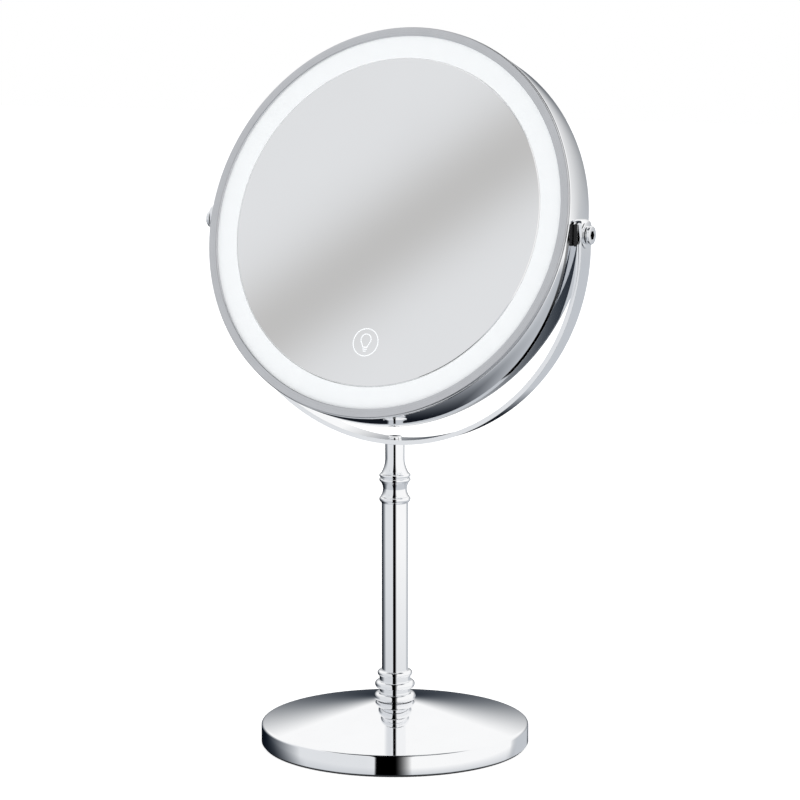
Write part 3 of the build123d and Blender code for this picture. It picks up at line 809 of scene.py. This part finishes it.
class BuildPivots(bpy.types.Operator):
    """Build the friction pads, washers and grooved screws of both pivots."""

    bl_idname = "mirror.build_pivots"
    bl_label = "Pivots"

    def execute(self, context):
        stands_for(self.both(self.pad), "pivot_pads")
        stands_for(self.both(self.washer), "pivot_washers")
        screws = self.both(self.screw)
        stands_for(screws, "pivot_screws")
        outer = reach_of("pivot_screws")
        # painted shade: the hex sockets' insides get a near-black finish
        darken(screws, lambda p: (
            hypot(p.y, p.z - PIVOT.z) < 2.4 * MM and outer - 2 * MM < abs(p.x) < outer - TINY))
        return {"FINISHED"}

    def both(self, make):
        """One piece with the right one and the left one in it."""
        right, left = make(1), make(-1)
        nothing_selected()
        left.select_set(True)
        right.select_set(True)
        bpy.context.view_layer.objects.active = right
        bpy.ops.object.join()
        return bpy.context.object

    def pad(self, side):
        low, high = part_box("pivot_pads")
        inner, outer = PAD_IN_MM * MM, high.x
        nothing_selected()
        bpy.ops.mesh.primitive_cube_add(
            size=1, location=(side * (inner + outer) / 2, 0, (low.z + high.z) / 2),
            scale=(outer - inner, high.y - low.y, high.z - low.z))
        piece = applied(bpy.context.object)
        piece.name = "friction_pads" if side > 0 else "friction_pad_left"
        round_edges(piece, 0.4 * MM, 3)
        bore = round_tool(BORE_MM * MM, 20 * MM, (side * outer, 0, PIVOT.z))
        return close_up(combine(piece, bore, "DIFFERENCE"))

    def washer(self, side):
        outer = reach_of("pivot_washers") / MM
        inner = outer - 0.6
        line = [(BORE_MM, inner), (WASHER_RADIUS_MM, inner)]
        line += corner(WASHER_RADIUS_MM - 0.35, outer - 0.35, 0.35, 0) + [(BORE_MM, outer)]
        piece = turned("pivot_washer_rings", line, SMALL_STEPS, ring=True)
        return on_tilt_axis(piece, side)

    def screw(self, side):
        top = reach_of("pivot_screws") / MM
        seat = top - CAP_HEIGHT_MM
        grip = CAP_RADIUS_MM
        line = [(0, SCREW_TIP_MM), (SCREW_MM, SCREW_TIP_MM), (SCREW_MM, seat)]
        line += [(grip - 0.2, seat), (grip, seat + 0.2)]
        line += [(grip, seat + 0.8), (grip - 0.12, seat + 0.9), (grip - 0.5, seat + 0.9)]
        line += [(grip - 0.5, seat + 1.4), (grip - 0.12, seat + 1.4), (grip, seat + 1.5)]
        line += corner(grip - 0.35, top - 0.35, 0.35, 0, 5) + [(0, top)]
        piece = turned("pivot_screw_caps", line, SMALL_STEPS)
        combine(piece, hex_tool(2.3, top - 1.8, top + 1), "DIFFERENCE")
        return on_tilt_axis(close_up(piece), side)


# ---- the head's pieces ---------------------------------------------------------
# Outlines are (radius, depth) in millimetres; depth runs from front to back.
HALF_MM = 12.8
FACE_MM = 1.4
TRIM_IN_MM = 95.7
TRIM_OUT_MM = 100.1
SKIRT_MM = 97.1
SKIRT_END_MM = 6.2
SEAT_MM = 96.8
CASING_MM = 1.6
CASING_HALF_MM = 11.2
CURVE_MM = 1000.0


def trim_outline(play):
    """Section of a trim ring with its skirt, front at the lower depth."""
    front, back = -HALF_MM, -HALF_MM + FACE_MM
    skirt = HEAD_RADIUS / MM - CASING_MM - play
    line = corner(TRIM_IN_MM + 0.45, front + 0.45, 0.45, 180)
    line += corner(TRIM_OUT_MM - 0.45, front + 0.45, 0.45, 270)
    line += [(TRIM_OUT_MM, back), (skirt, back), (skirt, -SKIRT_END_MM)]
    return line + [(SKIRT_MM, -SKIRT_END_MM), (SKIRT_MM, back), (TRIM_IN_MM, back)]


class BuildCasing(bpy.types.Operator):
    """Build the head's chromed drum and its front and rear trim rings."""

    bl_idname = "mirror.build_casing"
    bl_label = "Casing and trims"

    def execute(self, context):
        outer = HEAD_RADIUS / MM
        half = CASING_HALF_MM
        line = [(outer - CASING_MM, -half)] + corner(outer - 0.6, -half + 0.6, 0.6, 270)
        line += corner(outer - 0.6, half - 0.6, 0.6, 0) + [(outer - CASING_MM, half)]
        casing = on_head_axis(turned("head_drum", line, HEAD_STEPS, ring=True))
        reach = HEAD_RADIUS - 0.5 * MM
        for place in (reach, -reach):
            combine(casing, round_tool(2.1 * MM, 8 * MM, (place, 0, PIVOT.z)), "DIFFERENCE")
        stands_for(close_up(casing), "head_casing")
        front = turned("front_trim", trim_outline(0.1), HEAD_STEPS, ring=True)
        stands_for(on_head_axis(front), "front_bezel")
        flipped = [(r, -depth) for r, depth in trim_outline(0.3)]
        rear = turned("rear_trim", flipped, HEAD_STEPS, ring=True)
        stands_for(on_head_axis(rear), "rear_bezel")
        return {"FINISHED"}


class BuildGlass(bpy.types.Operator):
    """Build the front mirror, the lit ring and the rear magnifying mirror."""

    bl_idname = "mirror.build_glass"
    bl_label = "Mirrors and lit ring"

    def execute(self, context):
        face, back = -HALF_MM + FACE_MM, -HALF_MM + FACE_MM + 3.0
        edge = MIRROR_RADIUS / MM
        line = [(0, face), (edge - 0.4, face), (edge, face + 0.4), (edge, back), (0, back)]
        mirror = turned("front_mirror_glass", line, HEAD_STEPS)
        stands_for(on_head_axis(mirror), "front_mirror")
        ring = [(edge + 0.15, face + 0.2), (edge + 0.35, face), (SEAT_MM, face)]
        ring += [(SEAT_MM, face + 2.6), (edge + 0.15, face + 2.6)]
        lit = turned("lit_ring", ring, HEAD_STEPS, ring=True)
        stands_for(on_head_axis(lit), "light_diffuser")
        stands_for(on_head_axis(self.magnifier()), "rear_mirror")
        return {"FINISHED"}

    def magnifier(self):
        rim = HALF_MM - FACE_MM
        steps = 24

        def hollow(radius, level):
            return level - CURVE_MM + sqrt(CURVE_MM**2 - radius**2)

        def rise(radius):
            return CURVE_MM - sqrt(CURVE_MM**2 - radius**2)

        middle = hollow(SEAT_MM, rim)
        radii = [SEAT_MM * i / steps for i in range(1, steps + 1)]
        line = [(0, middle), (radii[0], middle + rise(radii[0]))]
        line += [(r, middle + rise(r)) for r in radii[1:]]
        line += [(r, middle + rise(r) - 2.0) for r in radii[::-1]]
        return turned("rear_hollow_mirror", line + [(0, middle - 2.0)], HEAD_STEPS)


class BuildTouchMark(bpy.types.Operator):
    """Build the touch mark on the mirror: a lamp in a ring."""

    bl_idname = "mirror.build_touch_mark"
    bl_label = "Touch mark"

    def execute(self, context):
        sizes = context.scene.mirror_sizes
        self.half = sizes.mark_width / 2
        strokes = [
            self.ring(6.9, (0, 0), -180, 180),
            self.ring(2.8, (0, 1.4), -22, 202),
            self.bar((-2.6, 0.35), (-1.1, -2.5)),
            self.bar((2.6, 0.35), (1.1, -2.5)),
            self.bar((-1.3, -2.5), (1.3, -2.5)),
            self.bar((-1.2, -3.5), (1.2, -3.5)),
            self.bar((-0.8, -4.5), (0.8, -4.5)),
        ]
        nothing_selected()
        for stroke in strokes:
            stroke.select_set(True)
        bpy.context.view_layer.objects.active = strokes[0]
        bpy.ops.object.join()
        mark = bpy.context.object
        mark.name = mark.data.name = "touch_mark"
        mark.location = (0, sizes.mark_drop, 0)
        applied(mark)
        on_head_axis(mark)
        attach(mark, "head")
        mark.data.materials.clear()
        mark.data.materials.append(etched_mark())
        return {"FINISHED"}

    def face_level(self):
        return (-HALF_MM + FACE_MM) * MM

    def thicken(self, stroke):
        """Give a flat stroke a thin body that stands just proud of the glass."""
        bpy.ops.object.mode_set(mode="EDIT")
        bpy.ops.mesh.select_all(action="SELECT")
        bpy.ops.mesh.extrude_region_move(TRANSFORM_OT_translate={"value": (0, 0, -0.06 * MM)})
        bpy.ops.object.mode_set(mode="OBJECT")
        return close_up(stroke)

    def ring(self, radius, centre, first, last):
        """A flat round stroke; the mark's own up is -Y here."""
        steps = 64
        x, y = centre[0] * MM, -centre[1] * MM
        nothing_selected()
        bpy.ops.mesh.primitive_circle_add(
            vertices=steps, radius=radius * MM - self.half,
            location=(x, y, self.face_level()), enter_editmode=True)
        share = (radius * MM + self.half) / (radius * MM - self.half)
        bpy.ops.mesh.extrude_edges_move(TRANSFORM_OT_translate={"value": (0, 0, 0)})
        bpy.ops.transform.resize(
            value=(share, share, 1), center_override=(x, y, self.face_level()))
        stroke = applied_from_edit()
        if last - first < 360:
            self.open_up(stroke, x, y, first, last)
        return self.thicken(stroke)

    def open_up(self, stroke, x, y, first, last):
        """Take away the part of a round stroke outside its two angles."""
        bpy.ops.object.mode_set(mode="EDIT")
        bpy.ops.mesh.select_mode(type="FACE")
        bpy.ops.mesh.select_all(action="DESELECT")
        bpy.ops.object.mode_set(mode="OBJECT")
        for face in stroke.data.polygons:
            angle = degrees(atan2(-(face.center.y - y), face.center.x - x))
            angle = angle if angle >= first else angle + 360
            face.select = not first <= angle <= last
        bpy.ops.object.mode_set(mode="EDIT")
        bpy.ops.mesh.delete(type="FACE")
        bpy.ops.object.mode_set(mode="OBJECT")

    def bar(self, start, end):
        """A short straight flat stroke of the lamp."""
        across, up = end[0] - start[0], end[1] - start[1]
        middle = ((start[0] + end[0]) / 2 * MM, -(start[1] + end[1]) / 2 * MM, self.face_level())
        nothing_selected()
        bpy.ops.mesh.primitive_plane_add(
            size=1, location=middle, rotation=(0, 0, atan2(-up, across)))
        stroke = bpy.context.object
        stroke.scale = (hypot(across, up) * MM, 2 * self.half, 1)
        return self.thicken(applied(stroke))


class FinishInsides(bpy.types.Operator):
    """Give the carried-over CAD pieces their finishes."""

    bl_idname = "mirror.finish_insides"
    bl_label = "Inside pieces"

    def execute(self, context):
        for name, piece in sorted(frame["nodes"].items()):
            if not piece.hide_render:
                finish_as(piece, SLOT_OF[name])
        return {"FINISHED"}


# ---- stage ---------------------------------------------------------------------
CAMERA_TURN = 28.0
CAMERA_RISE = 8.3
CAMERA_DISTANCE = 1.464
CAMERA_LENS = 130.3
TARGET_ALONG = 0.0026
TARGET_UP = 0.1775


def direction(turn, rise):
    """Unit vector at an angle from the front, anticlockwise, and a height angle."""
    t, e = radians(turn), radians(rise)
    return Vector((sin(t) * cos(e), -cos(t) * cos(e), sin(e)))


# Plain soft light: a white tent whose left wall is a shade greyer, a graded
# dark backdrop behind, a pale table with a shadow right below, a grey roof and
# the camera's opening.  A white card stands low at the right, behind.
# Levels are shares of white, turns are degrees from the camera's own angle.
WHITE = 1.0
GREY_WALL = 0.90
GREY_WALL_TURN = -60
BACKDROP = (0.06, 0.085, 0.12)
BACKDROP_TURN = -166
BACKDROP_FOOT, BACKDROP_TOP = -12, 23
TABLE = 0.80
TABLE_BEHIND = (0.10, 0.115, 0.14)
HORIZON = -14
SHADOW = 0.20
SHADOW_EDGE = -68
CARD = 0.78
CARD_TURN, CARD_RISE = 142, -22
CARD_HALF = 27
ROOF = 0.30
ROOF_EDGE = 60
OPENING = 0.004
FOLD = (0.765, 0.765, 0.765)
FOLD_WIDTH = 0.0165


def grey(level):
    """A grey that turns slightly blue as it darkens."""
    tint = 0.09 * (1 - level)
    return (level * (1 - tint), level, min(1.0, level * (1 + 1.4 * tint)))


def height(rise):
    """Height on the tent's unit sphere of an angle above the horizon."""
    return sin(radians(rise))


class BuildStage(bpy.types.Operator):
    """Set up the floor, the light tent and the camera."""

    bl_idname = "mirror.build_stage"
    bl_label = "Stage"

    def execute(self, context):
        context.scene.view_settings.view_transform = "Standard"
        self.floor()
        self.tent(context.scene)
        self.camera(context.scene)
        return {"FINISHED"}

    def floor(self):
        nothing_selected()
        bpy.ops.mesh.primitive_plane_add(size=12, location=(0, 0, CAD_BOX[0].z))
        floor = bpy.context.object
        floor.name = "floor"
        floor.visible_glossy = False
        finish, bench = new_finish("Pale_floor")
        where = bench.place()
        cloud = bench.noise(where, 3, 2)
        bench.colour(bench.ramp(cloud, [(0.3, (0.79, 0.79, 0.79)), (0.7, (0.8, 0.8, 0.8))]))
        bench.fixed(Roughness=0.9, Emission_Color=(1, 1, 1, 1), Emission_Strength=0.72)
        floor.data.materials.append(finish)

    def tent(self, scene):
        world = bpy.data.worlds.new("Light_tent")
        scene.world = world
        world.use_nodes = True
        world.node_tree.nodes.clear()
        bench = NodeBench(world.node_tree)
        where = bench.add("ShaderNodeTexCoord").outputs["Generated"]
        split = bench.add("ShaderNodeSeparateXYZ")
        bench.join(where, split.inputs["Vector"])
        z = split.outputs["Z"]
        wall = self.walls(bench, where, z)
        roof = bench.spread(z, 0, 1, height(ROOF_EDGE - 4), height(ROOF_EDGE + 8))
        wall = bench.mix(roof, wall, grey(ROOF))
        wall = bench.mix(self.fold(bench, where), wall, FOLD)
        wall = bench.mix(self.opening(bench, where), wall, grey(OPENING))
        gamma = bench.add("ShaderNodeGamma")
        gamma.inputs["Gamma"].default_value = 2.2
        bench.join(wall, gamma.inputs["Color"])
        seen = bench.add("ShaderNodeLightPath").outputs["Is Camera Ray"]
        colour = bench.mix(seen, gamma.outputs["Color"], (1, 1, 1))
        shader = bench.add("ShaderNodeBackground")
        bench.join(colour, shader.inputs["Color"])
        out = bench.add("ShaderNodeOutputWorld")
        bench.join(shader.outputs["Background"], out.inputs["Surface"])

    def walls(self, bench, where, z):
        """White walls, the greyer one, the backdrop, the table, card and shadow."""
        beside = self.dot(bench, where, direction(CAMERA_TURN + GREY_WALL_TURN, 0))
        wall = bench.mix(bench.spread(beside, 0, 1, 0.3, 0.8), grey(WHITE), grey(GREY_WALL))
        behind = self.dot(bench, where, direction(CAMERA_TURN + BACKDROP_TURN, 0))
        shade = bench.spread(behind, 0, 1, 0.2, 0.95)
        low = bench.spread(z, 1, 0, height(BACKDROP_FOOT), height(BACKDROP_TOP))
        wall = bench.mix(bench.math("MULTIPLY", shade, low), wall, BACKDROP)
        far = bench.spread(behind, 0, 1, 0.1, 0.75)
        table = bench.mix(far, grey(TABLE), TABLE_BEHIND)
        under = bench.spread(z, 1, 0, height(HORIZON - 3), height(HORIZON + 3))
        wall = bench.mix(under, wall, table)
        facing = self.dot(bench, where, direction(CAMERA_TURN + CARD_TURN, CARD_RISE))
        card = bench.spread(
            facing, 0, 1, cos(radians(CARD_HALF)), cos(radians(CARD_HALF * 0.6)))
        wall = bench.mix(card, wall, grey(CARD))
        below = bench.spread(z, 1, 0, height(SHADOW_EDGE - 6), height(SHADOW_EDGE + 6))
        return bench.mix(below, wall, grey(SHADOW))

    def fold(self, bench, where):
        """A soft grey fold across the wall that the mirror faces."""
        first = direction(CAMERA_TURN - 62, 25)
        second = direction(CAMERA_TURN - 58, 30)
        off = self.dot(bench, where, first.cross(second).normalized())
        near = self.dot(bench, where, (first + second).normalized())
        share = bench.math("DIVIDE", off, FOLD_WIDTH)
        square = bench.math("MULTIPLY", share, share)
        bell = bench.math("EXPONENT", bench.math("MULTIPLY", square, -1.0))
        return bench.math("MULTIPLY", bell, bench.spread(near, 0, 1, 0.985, 0.993))

    def opening(self, bench, where):
        """The dark opening that the camera looks in through, soft on its right."""
        across = self.dot(bench, where, direction(CAMERA_TURN + 90, 0))
        ahead = self.dot(bench, where, direction(CAMERA_TURN, 0))
        left = bench.spread(across, 0, 1, height(-17), height(-15))
        right = bench.spread(across, 1, 0, 0, height(14))
        front = bench.spread(ahead, 0, 1, -0.3, 0.0)
        return bench.math("MULTIPLY", front, bench.math("MULTIPLY", left, right))

    def dot(self, bench, where, vector):
        node = bench.add("ShaderNodeVectorMath", operation="DOT_PRODUCT")
        bench.join(where, node.inputs[0])
        node.inputs[1].default_value = vector
        return node.outputs["Value"]

    def camera(self, scene):
        back = direction(CAMERA_TURN, CAMERA_RISE)
        right = direction(CAMERA_TURN + 90, 0)
        target = Vector((0, 0, TARGET_UP)) + right * TARGET_ALONG
        data = bpy.data.cameras.new("Camera")
        data.lens = CAMERA_LENS
        data.sensor_width = 36
        camera = bpy.data.objects.new("Camera", data)
        scene.collection.objects.link(camera)
        camera.location = target + back * CAMERA_DISTANCE
        camera.rotation_mode = "QUATERNION"
        camera.rotation_quaternion = back.to_track_quat("Z", "Y")
        scene.camera = camera


class MirrorPanel(bpy.types.Panel):
    """Buttons for building the mirror piece by piece."""

    bl_idname = "VIEW3D_PT_mirror"
    bl_label = "Lighted mirror"
    bl_space_type = "VIEW_3D"
    bl_region_type = "UI"
    bl_category = "Mirror"

    def draw(self, context):
        column = self.layout.column()
        for operator in OPERATORS:
            column.operator(operator.bl_idname)
        for group in (context.scene.mirror_sizes, context.scene.mirror_finishes):
            for name in group.__annotations__:
                column.prop(group, name)


OPERATORS = (
    BuildFoot, BuildStem, BuildYoke, BuildPivots, BuildCasing, BuildGlass,
    BuildTouchMark, FinishInsides, BuildStage,
)
CLASSES = (MirrorSizes, MirrorFinishes, *OPERATORS, MirrorPanel)


def register():
    for cls in CLASSES:
        bpy.utils.register_class(cls)
    bpy.types.Scene.mirror_sizes = bpy.props.PointerProperty(type=MirrorSizes)
    bpy.types.Scene.mirror_finishes = bpy.props.PointerProperty(type=MirrorFinishes)


def unregister():
    del bpy.types.Scene.mirror_finishes
    del bpy.types.Scene.mirror_sizes
    for cls in reversed(CLASSES):
        bpy.utils.unregister_class(cls)


def main():
    """Build everything in order."""
    register()
    for operator in OPERATORS:
        group, name = operator.bl_idname.split(".")
        getattr(getattr(bpy.ops, group), name)()
    nothing_selected()


if __name__ == "__main__":
    main()
